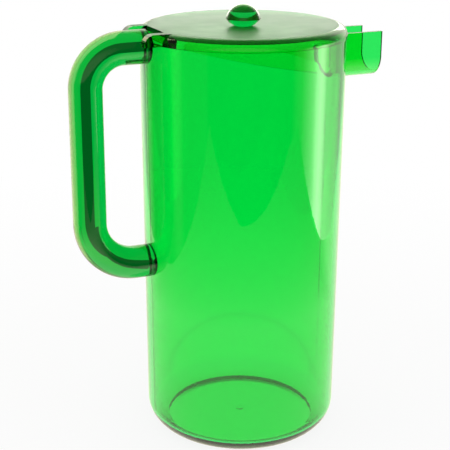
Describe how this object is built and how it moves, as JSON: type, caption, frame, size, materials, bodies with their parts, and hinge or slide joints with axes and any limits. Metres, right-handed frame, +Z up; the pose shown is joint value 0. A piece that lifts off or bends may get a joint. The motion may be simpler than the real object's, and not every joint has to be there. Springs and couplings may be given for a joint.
{
  "type": "beer pitcher",
  "caption": "Tall clear green plastic pitcher with a bent rod handle, a channel spout and a lift-off lid with a round knob and a slanted inner skirt.",
  "frame": {"origin": "centre of the ring that the jug stands on, at the level of the table", "axes": "+Z up along the axis of the jug, +X to the spout, -X to the handle"},
  "size_m": [0.1976, 0.125, 0.2701],
  "materials": {
    "clear_plastic": "clear, polished, tinted green right through"
  },
  "bodies": {
    "jug": {"jug_body": "clear_plastic", "handle": "clear_plastic", "spout": "clear_plastic"},
    "lid": {"lid_plate": "clear_plastic", "lid_skirt": "clear_plastic", "lid_knob": "clear_plastic"}
  },
  "joints": [
    {"name": "lid_lift", "type": "slide", "parent": "jug", "child": "lid", "axis": [0, 0, 1], "range_m": [0, 0.15]}
  ]
}
